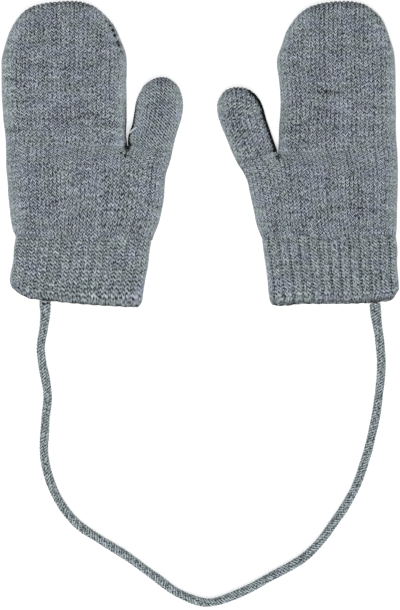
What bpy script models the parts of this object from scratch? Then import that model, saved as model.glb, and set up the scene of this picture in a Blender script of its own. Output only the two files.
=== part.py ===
"""Pair of knitted baby mittens on a cord, laid flat.

Each mitten is three knitted tubes: a ribbed cuff, a hand that holds the palm and the fingers, and a thumb.
They lie flat, so every ring has a front that lies on its back and a fold at each side. X runs across, Y from
the cuffs to the fingertips and Z up. The undersides lie on Z = 0, and the origin is midway between the two.
Both mittens are written with the thumb towards +X. The right one is then turned over across X = 0.
"""

from collections import namedtuple
from math import acos, cos, pi, radians, sin

import bmesh
import bpy
from mathutils import Vector

MM = 0.001

# The knitted cloth, in millimetres.
WALL = 2.0
FOLD_RADIUS = 2.4  # outer radius of the folds at the sides, so two layers are 4.8 thick there
DOME_HEIGHT = 0.8  # how much fuller the middle of a tube lies than its sides
DOME_REACH = 14.0  # how far in from a fold the cloth reaches that height
SEAM_GAP = 0.3
SEAM_DIP = 0.6  # how far the front dips where the hand is knitted to the cuff
HEM_LIP = 0.7  # how far the rounded edge of the hem stands past its wall
EDGE_REACH = 0.3  # this near to the edge, the way in is taken from further in
LOOK_IN = 1.2

# How finely a tube is drawn.
FOLD_ANGLES = (30, 60, 90)
FINGER_COLUMNS = 8
THUMB_COLUMNS = 2
CROTCH_SPREAD = 2.5  # how much wider the columns under the crotch stand at the cuff than at the crotch

# The ribs of the cuffs.
RIB_HEIGHT = 0.9
RIB_SINK = 0.3  # how far the valleys lie beneath the plain cloth at full height
COLUMNS_PER_RIB = 4
RIBS_AT_HEM = 1.0  # share of the full height at the hem
RIBS_AT_HAND = 0.6  # and where the ribs run into the hand

# The cord.
CORD_DIAMETER = 3.9
CORD_POINTS = 40
CORD_CLEARANCE = 0.05  # beneath the cord
ROUTE_STEPS = 12  # how finely the way is followed from one of its points to the next

# A ring of a tube, by the places of its folds on the little finger's side and on the thumb's side.
Ring = namedtuple("Ring", "pinky_x pinky_y thumb_x thumb_y")
# A level ring, by its height and its two folds.
Level = namedtuple("Level", "y pinky_x thumb_x")
# A place along the hem, by its share of the way from the little finger's side, and its height.
Hem = namedtuple("Hem", "across y")
Mitten = namedtuple("Mitten", "name turned cuff hem palm crotch fingers thumb ribs")

LEFT = Mitten(
    name="left",
    turned=1,
    cuff=(
        Ring(-86.2, -44.0, -23.4, -45.5),
        Ring(-86.5, -49.5, -24.0, -51.5),
        Ring(-87.6, -55.0, -25.1, -57.5),
        Ring(-88.1, -59.0, -26.1, -63.5),
        Ring(-87.4, -62.0, -26.7, -68.7),
    ),
    hem=(
        Hem(0.00, -62.0),
        Hem(0.12, -66.3),
        Hem(0.25, -67.4),
        Hem(0.40, -68.5),
        Hem(0.60, -69.6),
        Hem(0.80, -70.3),
        Hem(0.94, -70.4),
        Hem(1.00, -68.7),
    ),
    palm=(
        Ring(-85.1, -38.6, -22.2, -40.1),
        Ring(-86.5, -35.7, -21.1, -37.1),
        Ring(-87.5, -31.0, -19.1, -32.0),
        Ring(-88.2, -25.0, -17.7, -26.0),
        Ring(-88.8, -19.0, -16.7, -20.5),
        Ring(-89.1, -13.0, -16.4, -15.0),
        Ring(-89.7, -7.0, -15.8, -9.5),
        Ring(-89.8, -1.5, -14.1, -4.3),
        Ring(-89.9, 3.8, -12.9, 0.6),
    ),
    crotch=Vector((-33.6, 3.8)),
    fingers=(
        Level(9.0, -90.2, -34.2),
        Level(15.0, -91.0, -34.0),
        Level(21.0, -91.4, -34.0),
        Level(27.0, -91.8, -34.0),
        Level(33.0, -91.9, -34.1),
        Level(39.0, -91.9, -33.9),
        Level(44.0, -91.8, -34.0),
        Level(48.0, -90.8, -34.8),
        Level(52.0, -89.7, -36.5),
        Level(56.0, -88.3, -38.1),
        Level(59.5, -86.6, -39.9),
        Level(62.5, -84.7, -42.3),
        Level(65.0, -82.6, -44.7),
        Level(67.0, -80.3, -47.0),
        Level(68.6, -77.3, -49.3),
        Level(69.8, -73.0, -51.9),
        Level(70.5, -68.0, -54.7),
    ),
    thumb=(
        Ring(-33.3, 8.5, -11.9, 5.5),
        Ring(-31.6, 13.5, -10.3, 11.0),
        Ring(-30.5, 19.5, -8.4, 17.5),
        Ring(-29.5, 25.0, -7.9, 23.5),
        Ring(-27.7, 29.0, -8.8, 28.0),
        Ring(-25.9, 32.0, -10.3, 31.5),
        Ring(-23.2, 34.1, -12.8, 33.9),
        Ring(-20.4, 35.4, -15.2, 35.4),
    ),
    ribs=13,
)

RIGHT = Mitten(
    name="right",
    turned=-1,
    cuff=(
        Ring(-91.2, -44.5, -29.1, -45.0),
        Ring(-91.0, -50.5, -30.1, -52.0),
        Ring(-91.4, -56.0, -30.9, -58.5),
        Ring(-91.8, -60.5, -31.4, -64.5),
        Ring(-91.9, -63.2, -31.9, -68.3),
    ),
    hem=(
        Hem(0.00, -63.2),
        Hem(0.04, -66.4),
        Hem(0.14, -68.1),
        Hem(0.30, -68.8),
        Hem(0.60, -69.1),
        Hem(0.78, -69.2),
        Hem(0.92, -70.4),
        Hem(1.00, -68.3),
    ),
    palm=(
        Ring(-90.3, -38.6, -28.2, -38.7),
        Ring(-90.7, -35.7, -27.0, -35.9),
        Ring(-90.9, -30.5, -25.6, -31.5),
        Ring(-91.0, -25.0, -24.8, -27.0),
        Ring(-91.2, -19.5, -23.8, -22.5),
        Ring(-91.3, -14.0, -22.8, -18.0),
        Ring(-91.4, -9.0, -21.9, -13.5),
        Ring(-91.3, -4.0, -19.9, -9.0),
        Ring(-91.1, 1.0, -16.9, -4.3),
    ),
    crotch=Vector((-35.9, 1.0)),
    fingers=(
        Level(6.0, -90.7, -36.2),
        Level(12.0, -90.4, -36.3),
        Level(18.0, -90.5, -36.8),
        Level(24.0, -90.4, -37.0),
        Level(30.0, -90.3, -36.7),
        Level(36.0, -90.3, -36.0),
        Level(41.0, -90.1, -35.3),
        Level(45.0, -89.8, -35.6),
        Level(49.0, -89.0, -37.1),
        Level(53.0, -87.7, -38.4),
        Level(57.0, -86.4, -39.9),
        Level(60.5, -85.0, -42.1),
        Level(63.5, -83.2, -44.4),
        Level(66.0, -80.8, -47.0),
        Level(68.0, -78.3, -49.9),
        Level(69.6, -75.4, -54.4),
        Level(70.5, -71.9, -59.5),
    ),
    thumb=(
        Ring(-34.1, 6.0, -14.3, 1.2),
        Ring(-32.2, 11.5, -11.8, 7.5),
        Ring(-30.5, 16.5, -9.3, 13.5),
        Ring(-29.3, 21.0, -7.8, 19.0),
        Ring(-27.6, 25.0, -7.9, 24.0),
        Ring(-25.3, 28.0, -10.0, 28.0),
        Ring(-22.7, 30.0, -11.9, 30.0),
        Ring(-19.7, 31.2, -15.0, 31.2),
    ),
    ribs=14,
)

# The way of the cord from the left hem to the right one, as it lies.
CORD_ROUTE = (
    (-71.7, -68.3),
    (-71.7, -74.0),
    (-72.4, -81.0),
    (-73.7, -89.0),
    (-73.1, -96.0),
    (-70.6, -110.5),
    (-71.7, -125.5),
    (-72.0, -140.0),
    (-67.9, -155.0),
    (-64.0, -162.3),
    (-57.8, -170.0),
    (-47.6, -177.3),
    (-35.6, -184.7),
    (-20.2, -195.8),
    (-10.8, -202.5),
    (3.5, -207.2),
    (17.2, -203.2),
    (31.5, -195.8),
    (50.5, -184.2),
    (62.0, -170.0),
    (71.2, -155.0),
    (76.6, -140.0),
    (80.2, -125.5),
    (82.6, -110.5),
    (83.6, -96.0),
    (82.6, -84.5),
    (81.2, -75.0),
    (80.7, -69.5),
)

YARN_GREY = (0.19, 0.215, 0.24)
RIB_GREY = (0.195, 0.22, 0.235)
CORD_GREY = (0.18, 0.2, 0.215)

# The four layers at one place of a ring: the outsides of its front and back, and their insides.
Layers = namedtuple("Layers", "front back front_inside back_inside")


def clear_scene():
    for item in list(bpy.data.objects):
        bpy.data.objects.remove(item, do_unlink=True)


def yarn(name, colour):
    """Soft matt yarn."""
    material = bpy.data.materials.new(name)
    material.use_nodes = True
    shader = material.node_tree.nodes["Principled BSDF"]
    shader.inputs["Base Color"].default_value = (*colour, 1)
    shader.inputs["Roughness"].default_value = 0.95
    shader.inputs["Metallic"].default_value = 0
    return material


def mix(start, end, share):
    return start + (end - start) * share


def pinky_side(ring):
    return Vector((ring.pinky_x, ring.pinky_y))


def thumb_side(ring):
    return Vector((ring.thumb_x, ring.thumb_y))


def level_ring(level):
    return Ring(level.pinky_x, level.y, level.thumb_x, level.y)


def cuff_rings(mitten):
    """The cuff's rings from the hand, a seam below it, down to the hem."""
    top = mitten.palm[0]
    first = Ring(top.pinky_x, top.pinky_y - SEAM_GAP, top.thumb_x, top.thumb_y - SEAM_GAP)
    return (first, *mitten.cuff)


def outline_of(mitten):
    """The edge of the whole mitten, from the hem round the fingers and the thumb to the hem again."""
    cuff = cuff_rings(mitten)
    fingers = [level_ring(level) for level in mitten.fingers]
    edge = [pinky_side(ring) for ring in reversed(cuff)]
    edge += [pinky_side(ring) for ring in (*mitten.palm, *fingers)]
    edge += [thumb_side(ring) for ring in reversed(fingers)]
    edge += [mitten.crotch]
    edge += [pinky_side(ring) for ring in mitten.thumb]
    edge += [thumb_side(ring) for ring in (*reversed(mitten.thumb), *reversed(mitten.palm))]
    edge += [thumb_side(ring) for ring in cuff]
    return edge


def nearest_edge(outline, place):
    feet = []
    for start, end in zip(outline, outline[1:]):
        run = end - start
        share = min(max((place - start).dot(run) / run.length_squared, 0), 1)
        feet.append(start + run * share)
    return min(feet, key=lambda foot: (place - foot).length)


def columns(width, count, first_spread=1.0, last_spread=1.0):
    """Distances across a flat tube: close together round each fold, and even between the folds."""
    radius = min(FOLD_RADIUS, width / 4)
    steps = [radius * (1 - cos(radians(angle))) for angle in FOLD_ANGLES]
    first = [step * first_spread for step in steps]
    last = [width - step * last_spread for step in reversed(steps)]
    flat = last[0] - first[-1]
    between = [first[-1] + flat * k / (count + 1) for k in range(1, count + 1)]
    return [0, *first, *between, *last, width]


def layers_at(outline, place, inside, folded=False, raised=0.0, dip=0.0, square=False):
    """The layers of the cloth at a place, as points.

    The way inside is any way in from the edge. A square fold turns about a line across that way, and any
    other about the nearest edge.
    """
    depth = 0.0 if folded else (place - nearest_edge(outline, place)).length
    inward = inside.normalized()
    if not square:
        shown = place + inward * LOOK_IN if depth < EDGE_REACH else place
        inward = (shown - nearest_edge(outline, shown)).normalized()
    turn = acos(1 - min(depth, FOLD_RADIUS) / FOLD_RADIUS)
    side = -inward * cos(turn)
    rise = FOLD_RADIUS * sin(turn)
    dome = DOME_HEIGHT * (1 - (1 - min(depth / DOME_REACH, 1)) ** 2)
    top = Vector((place.x, place.y, FOLD_RADIUS + rise + dome - dip * sin(turn)))
    under = Vector((place.x, place.y, FOLD_RADIUS - rise))
    up = Vector((side.x, side.y, sin(turn)))
    down = Vector((side.x, side.y, -sin(turn)))
    return Layers(
        front=top + up * raised,
        back=under + Vector((side.x, side.y, 0)) * raised,
        front_inside=top - up * WALL,
        back_inside=under - down * WALL,
    )


def add_layers(mesh, layers, folded):
    """The four layers as vertices of the mesh. At a fold the front goes over into the back."""
    front = mesh.verts.new(layers.front * MM)
    front_inside = mesh.verts.new(layers.front_inside * MM)
    if folded:
        return Layers(front, front, front_inside, front_inside)
    back = mesh.verts.new(layers.back * MM)
    back_inside = mesh.verts.new(layers.back_inside * MM)
    return Layers(front, back, front_inside, back_inside)


def ring_of(mesh, outline, places, folds, inside=None, seam=False):
    """One ring of a tube, from its places across. Those whose index is in folds are folded."""
    middle = (places[0] + places[-1]) / 2
    ring = []
    for index, place in enumerate(places):
        way_in = inside or (middle - place)
        dip = SEAM_DIP if seam else 0.0
        layers = layers_at(outline, place, way_in, index in folds, dip=dip, square=seam)
        ring.append(add_layers(mesh, layers, index in folds))
    return ring


def skin(mesh, rings):
    """The outside and the inside of a tube through its rings."""
    for low, high in zip(rings, rings[1:]):
        for k in range(len(low) - 1):
            for layer in range(4):
                corners = (low[k], low[k + 1], high[k + 1], high[k])
                mesh.faces.new([corner[layer] for corner in corners])


def rim(mesh, ring, lip=None):
    """The edge of the cloth round an open ring, through the vertices of a rounded lip if it has one."""
    for k in range(len(ring) - 1):
        for outside, inside in ((0, 2), (1, 3)):
            if lip is None:
                mesh.faces.new(
                    (ring[k][outside], ring[k + 1][outside], ring[k + 1][inside], ring[k][inside])
                )
                continue
            for layer in (outside, inside):
                mesh.faces.new(
                    (ring[k][layer], ring[k + 1][layer], lip[k + 1][outside], lip[k][outside])
                )


def straight(start, end, distances):
    run = (end - start).normalized()
    return [start + run * distance for distance in distances]


def palm_places(mitten, index):
    """The places across one ring of the palm, and the index of the one under the crotch."""
    ring = mitten.palm[index]
    last = len(mitten.palm) - 1
    start = pinky_side(ring)
    end = thumb_side(ring)
    top = mitten.palm[last]
    share = (mitten.crotch.x - top.pinky_x) / (top.thumb_x - top.pinky_x)
    under = start.lerp(end, share)
    under.y = mix(under.y, mix(start.y, mitten.crotch.y, index / last), index / last)
    if index == last:
        under = mitten.crotch.copy()
    spread = mix(CROTCH_SPREAD, 1.0, index / last)
    finger_steps = columns((under - start).length, FINGER_COLUMNS, last_spread=spread)
    thumb_steps = columns((end - under).length, THUMB_COLUMNS, first_spread=spread)
    places = straight(start, under, finger_steps) + straight(under, end, thumb_steps)[1:]
    return places, len(finger_steps) - 1


def crotch_inside(mitten):
    """The inside of the cloth at the crotch, which lies straight down the palm from the outside."""
    return Vector((mitten.crotch.x, mitten.crotch.y - WALL, FOLD_RADIUS))


def build_hand(mesh, mitten, outline):
    """The palm up to the crotch, the fingers from there to the tip, and the opening for the thumb."""
    palm = []
    last = len(mitten.palm) - 1
    for index in range(last + 1):
        places, crotch = palm_places(mitten, index)
        folds = {0, len(places) - 1} | ({crotch} if index == last else set())
        palm.append(ring_of(mesh, outline, places, folds, seam=index == 0))
    palm[-1][crotch].front_inside.co = crotch_inside(mitten) * MM
    fingers = [palm[-1][: crotch + 1]]
    for number, level in enumerate(mitten.fingers):
        row = level_ring(level)
        start = pinky_side(row)
        end = thumb_side(row)
        places = straight(start, end, columns((end - start).length, FINGER_COLUMNS))
        tip = number == len(mitten.fingers) - 1
        folds = set(range(len(places))) if tip else {0, len(places) - 1}
        fingers.append(ring_of(mesh, outline, places, folds, Vector((0, -1)) if tip else None))
    skin(mesh, palm)
    skin(mesh, fingers)
    rim(mesh, palm[0])
    rim(mesh, palm[-1][crotch:])


def build_thumb(mesh, mitten, outline):
    """The thumb, from a seam's width past the opening in the hand to its tip."""
    places, crotch = palm_places(mitten, len(mitten.palm) - 1)
    seam = places[crotch:]
    across = (seam[-1] - seam[0]).normalized()
    along = Vector((-across.y, across.x))
    base = []
    for index, place in enumerate(seam):
        away = 1 - index / (len(seam) - 1)
        layers = layers_at(outline, place, seam[len(seam) // 2] - place, index in (0, len(seam) - 1))
        if index == 0:
            layers = layers._replace(front_inside=crotch_inside(mitten))
        shift = (along + across * away) * SEAM_GAP
        moved = Layers(*(point + shift.to_3d() for point in layers))
        base.append(add_layers(mesh, moved, index in (0, len(seam) - 1)))
    rings = [base]
    for number, row in enumerate(mitten.thumb):
        start = pinky_side(row)
        end = thumb_side(row)
        places = straight(start, end, columns((end - start).length, THUMB_COLUMNS))
        tip = number == len(mitten.thumb) - 1
        folds = set(range(len(places))) if tip else {0, len(places) - 1}
        rings.append(ring_of(mesh, outline, places, folds, -along if tip else None))
    skin(mesh, rings)
    rim(mesh, base)


def hem_height(mitten, across):
    """The height of the hem at a share of the way across."""
    for low, high in zip(mitten.hem, mitten.hem[1:]):
        if across <= high.across:
            return mix(low.y, high.y, (across - low.across) / (high.across - low.across))
    return mitten.hem[-1].y


def across_fold(distance, width):
    """How far across a flat tube a distance along its surface reaches, from fold to fold."""
    bend = FOLD_RADIUS * pi / 2
    around = width - 2 * FOLD_RADIUS + 2 * bend
    if distance < bend:
        return FOLD_RADIUS * (1 - cos(distance / FOLD_RADIUS))
    if distance > around - bend:
        return width - FOLD_RADIUS * (1 - cos((around - distance) / FOLD_RADIUS))
    return FOLD_RADIUS + distance - bend


def build_cuff(mesh, mitten, outline):
    """The cuff as an open tube, with its ribs raised on the outside, and a rounded hem."""
    rows = cuff_rings(mitten)
    count = mitten.ribs * COLUMNS_PER_RIB
    rings = []
    for number, row in enumerate(rows):
        down = number / (len(rows) - 1)
        start = pinky_side(row)
        end = thumb_side(row)
        width = (end - start).length
        around = width + (pi - 2) * FOLD_RADIUS
        strength = mix(RIBS_AT_HAND, RIBS_AT_HEM, down)
        ring = []
        for column in range(count + 1):
            share = across_fold(around * column / count, width) / width
            place = start.lerp(end, share)
            sag = hem_height(mitten, share) - mix(rows[-1].pinky_y, rows[-1].thumb_y, share)
            place.y += sag * down**2
            wave = 0.5 - 0.5 * cos(2 * pi * column / COLUMNS_PER_RIB)
            rib = strength * (RIB_HEIGHT * wave - RIB_SINK)
            folded = column in (0, count)
            way_in = (end - start) * (0.5 - column / count) or end - start
            layers = layers_at(outline, place, way_in, folded, raised=rib, square=True)
            ring.append(add_layers(mesh, layers, folded))
        rings.append(ring)
    lip = []
    for layers in rings[-1]:
        edge = [mesh.verts.new((layers.front.co + layers.front_inside.co) / 2)]
        if layers.back is not layers.front:
            edge.append(mesh.verts.new((layers.back.co + layers.back_inside.co) / 2))
        for vertex in edge:
            vertex.co.y -= HEM_LIP * MM
        lip.append(Layers(edge[0], edge[-1], None, None))
    skin(mesh, rings)
    rim(mesh, rings[0])
    rim(mesh, rings[-1], lip)


def knitted_piece(name, material, collection, mitten, build):
    mesh = bmesh.new()
    build(mesh, mitten, outline_of(mitten))
    for vertex in mesh.verts:
        vertex.co.x *= mitten.turned
    bmesh.ops.recalc_face_normals(mesh, faces=mesh.faces)
    data = bpy.data.meshes.new(name)
    mesh.to_mesh(data)
    mesh.free()
    data.shade_smooth()
    data.materials.append(material)
    piece = bpy.data.objects.new(name, data)
    collection.objects.link(piece)
    return piece


def smooth_route(points, count):
    """Evenly spaced points on a smooth curve through the given ones."""
    ends = [points[0] * 2 - points[1], *points, points[-1] * 2 - points[-2]]
    fine = []
    for a, b, c, d in zip(ends, ends[1:], ends[2:], ends[3:]):
        for k in range(ROUTE_STEPS):
            t = k / ROUTE_STEPS
            bend = (a * 2 - b * 5 + c * 4 - d) * t**2 + (b * 3 - a - c * 3 + d) * t**3
            fine.append(b + ((c - a) * t + bend) / 2)
    fine.append(points[-1])
    lengths = [0.0]
    for a, b in zip(fine, fine[1:]):
        lengths.append(lengths[-1] + (b - a).length)
    even = []
    for k in range(count):
        wanted = lengths[-1] * k / (count - 1)
        after = next(i for i, length in enumerate(lengths) if length >= wanted - 1e-9)
        before = max(after - 1, 0)
        span = lengths[after] - lengths[before] or 1
        even.append(fine[before].lerp(fine[after], (wanted - lengths[before]) / span))
    return even


def build_cord(material, collection):
    """A soft round cord that lies on the same surface as the mittens."""
    curve = bpy.data.curves.new("cord", "CURVE")
    curve.dimensions = "3D"
    curve.bevel_depth = CORD_DIAMETER / 2 * MM
    curve.bevel_resolution = 2
    curve.use_fill_caps = True
    height = CORD_DIAMETER / 2 + CORD_CLEARANCE
    route = smooth_route([Vector((x, y, height)) for x, y in CORD_ROUTE], CORD_POINTS)
    spline = curve.splines.new("POLY")
    spline.points.add(len(route) - 1)
    for point, place in zip(spline.points, route):
        point.co = (*(place * MM), 1)
    curve.materials.append(material)
    cord = bpy.data.objects.new("cord", curve)
    collection.objects.link(cord)
    return cord


PIECES = (
    ("hand", YARN_GREY, build_hand),
    ("thumb", YARN_GREY, build_thumb),
    ("cuff", RIB_GREY, build_cuff),
)


def main():
    clear_scene()
    collection = bpy.data.collections.new("baby_mittens")
    bpy.context.scene.collection.children.link(collection)
    for mitten in (LEFT, RIGHT):
        holder = bpy.data.objects.new(f"{mitten.name}_mitten", None)
        collection.objects.link(holder)
        for part, colour, build in PIECES:
            name = f"{mitten.name}_{part}"
            piece = knitted_piece(name, yarn(f"{name}_yarn", colour), collection, mitten, build)
            piece.parent = holder
    build_cord(yarn("cord_yarn", CORD_GREY), collection)


main()
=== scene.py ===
"""Looks of a pair of knitted baby mittens on a cord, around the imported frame.

Every stitch is part of the surface: the hands and thumbs are in stocking stitch, the cuffs in rib, and the cord is a
narrow knitted tube. Lengths in the tables are in millimetres, and those in the settings are in metres. Both mittens
are written with the thumb towards +X, and the right one is turned over across X = 0.

A place on the cloth has two stitch numbers: its wale, counted across from the fold on the little finger's side, and
its course, counted up from the seam between cuff and hand.
"""

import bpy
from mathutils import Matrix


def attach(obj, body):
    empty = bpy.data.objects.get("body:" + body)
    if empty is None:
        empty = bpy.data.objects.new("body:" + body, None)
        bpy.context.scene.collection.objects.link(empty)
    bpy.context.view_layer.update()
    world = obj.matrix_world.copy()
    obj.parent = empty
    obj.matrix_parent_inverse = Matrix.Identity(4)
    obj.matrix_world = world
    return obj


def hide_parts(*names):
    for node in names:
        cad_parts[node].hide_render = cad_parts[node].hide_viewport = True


bl_info = {
    "name": "Baby Mittens",
    "version": (1, 0, 0),
    "blender": (4, 5, 0),
    "location": "View3D > Sidebar > Mittens",
    "description": "Knits a pair of baby mittens and their cord around the packed frame",
    "category": "Object",
}

from collections import namedtuple
from math import pi, tau

import bmesh
import bpy
import numpy as np
from bpy.props import FloatProperty, FloatVectorProperty, IntProperty, PointerProperty
from mathutils import Vector

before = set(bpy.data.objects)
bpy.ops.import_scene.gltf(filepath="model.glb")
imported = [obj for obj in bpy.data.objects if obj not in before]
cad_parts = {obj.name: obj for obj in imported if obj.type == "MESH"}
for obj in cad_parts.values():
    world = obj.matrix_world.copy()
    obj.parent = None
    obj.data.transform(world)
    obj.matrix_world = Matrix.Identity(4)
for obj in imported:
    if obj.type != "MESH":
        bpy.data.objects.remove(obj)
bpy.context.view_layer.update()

MM = 0.001
BODY = "root"

# How the stitches of a piece look. foot is where across its wale the V of a stitch has its foot; groove is the depth
# between the wales, spine that along the feet and rows that between the courses, as shares of the relief; and lean
# makes one leg the plainer.
Stitch = namedtuple("Stitch", "foot groove spine rows lean")
# The cloth of a piece before it is laid: once round the tube, along it, and its area in square millimetres.
Cut = namedtuple("Cut", "width length area")
# A painted shadow line along the edges beside the crotch, where the fold between thumb and fingers lies in shade:
# how far it keeps its full strength, how far it fades, its width, and its strength along the fingers against that
# along the thumb.
Line = namedtuple("Line", "full reach width fingers")
# The rows of a mitten's tables are, for cuff, palm and thumb, x and y of the fold on the little finger's side and of
# the other one; for fingers, y and both folds' x; for hem, the share of the way across, and y; for creases, x and y
# of both ends, the width, and how dark its painted shade is; and for dimples, x, y, the radius, and how dark its
# painted shade is, and both also set how deep they sink. peep is how far the hem's back layer shows, first_valley
# where the first valley lies, in ribs, rib_shares how strong the ribs are at the two sides, and join where the cord
# is joined to the hem.
Mitten = namedtuple(
    "Mitten",
    "name mirrored hand_seed cuff_seed cuff hem peep palm crotch fingers thumb wales finger_wales thumb_wales"
    " palm_stitch thumb_stitch crotch_line ribs cuff_courses first_valley rib_shares cuff_stitch join creases dimples"
    " hand_cut thumb_cut cuff_cut yarn_end",
)

LEFT = Mitten(
    name="left",
    mirrored=False,
    hand_seed=10,
    cuff_seed=50,
    cuff=(
        (-86.2, -44.0, -23.4, -45.5), (-86.5, -49.5, -24.0, -51.5), (-87.6, -55.0, -25.1, -57.5),
        (-88.1, -59.0, -26.1, -63.5), (-87.4, -62.0, -26.7, -68.7),
    ),
    hem=(
        (0.00, -62.0), (0.12, -66.3), (0.25, -67.4), (0.40, -68.5), (0.60, -69.6), (0.80, -70.3), (0.94, -70.6),
        (0.98, -70.3), (1.00, -68.7),
    ),
    peep=0.3,
    palm=(
        (-85.1, -38.6, -22.2, -40.1), (-86.5, -35.7, -21.1, -37.1), (-87.5, -31.0, -19.1, -32.0),
        (-88.2, -25.0, -17.7, -26.0), (-88.8, -19.0, -16.7, -20.5), (-89.1, -13.0, -16.4, -15.0),
        (-89.7, -7.0, -15.8, -9.5), (-89.8, -1.5, -14.1, -4.3), (-89.9, 3.8, -12.9, 0.6),
    ),
    crotch=(-33.6, 3.8),
    fingers=(
        (9.0, -90.2, -34.2), (15.0, -91.0, -34.0), (21.0, -91.4, -34.0), (27.0, -91.8, -34.0), (33.0, -91.9, -34.1),
        (39.0, -91.9, -33.9), (44.0, -91.8, -34.0), (48.0, -90.8, -34.8), (52.0, -89.7, -36.5), (56.0, -88.3, -38.1),
        (59.5, -86.6, -39.9), (62.5, -84.7, -42.3), (65.0, -82.6, -44.7), (67.0, -80.3, -47.0), (68.6, -77.3, -49.3),
        (69.8, -73.0, -51.9), (70.5, -68.0, -54.7),
    ),
    thumb=(
        (-33.3, 8.5, -11.9, 5.5), (-31.6, 13.5, -10.3, 11.0), (-30.5, 19.5, -8.4, 17.5), (-29.5, 25.0, -7.9, 23.5),
        (-27.7, 29.0, -8.8, 28.0), (-25.9, 32.0, -10.3, 31.5), (-23.2, 34.1, -12.8, 33.9), (-20.4, 35.4, -15.2, 35.4),
    ),
    wales=40.0,
    finger_wales=29.5,
    thumb_wales=14.0,
    palm_stitch=Stitch(0.5, 0.4, 0.1, 0.85, 0.15),
    thumb_stitch=Stitch(0.75, 0.0, 0.0, 1.0, 0.3),
    crotch_line=Line(6.0, 27.0, 1.5, 0.4),
    ribs=13,
    cuff_courses=18,
    first_valley=0.4,
    rib_shares=(0.06, 0.2),
    cuff_stitch=Stitch(0.75, 0.1, 0.1, 0.65, 0.2),
    join=(-71.5, -66.0),
    creases=(
        (-80.5, 41.5, -64.0, 39.4, 0.8, 0.14), (-66.0, 39.6, -46.0, 40.0, 0.6, 0.1),
        (-62.5, 15.5, -44.5, 19.8, 1.1, 0.18), (-91.5, 36.0, -84.0, 33.5, 0.7, 0.2),
        (-90.5, 10.5, -81.0, 11.0, 0.9, 0.2), (-24.0, -23.5, -17.5, -25.0, 0.7, 0.25),
        (-69.0, -22.0, -56.0, -20.5, 0.9, 0.15),
    ),
    dimples=(
        (-43.4, 61.4, 0.6, 0.6), (-41.7, 59.6, 0.6, 0.8), (-40.3, 57.4, 0.7, 1.1), (-39.4, 54.8, 0.7, 1.1),
        (-38.1, 51.5, 0.7, 1.0), (-37.2, 50.0, 0.6, 0.9), (-36.6, 47.2, 0.6, 0.6), (-34.8, -0.7, 0.55, 1.5),
        (-36.6, 0.6, 0.5, 0.8), (-33.9, 2.9, 0.6, 1.2),
    ),
    hand_cut=Cut(159.5, 109.1, 13820.0),
    thumb_cut=Cut(48.7, 33.6, 1540.0),
    cuff_cut=Cut(131.1, 30.3, 3770.0),
    yarn_end=((-33.2, 9.2, 2.6), (-32.4, 9.9, 4.9), (-31.3, 11.0, 5.7), (-30.2, 11.9, 5.9), (-28.9, 12.4, 5.7)),
)

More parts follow.
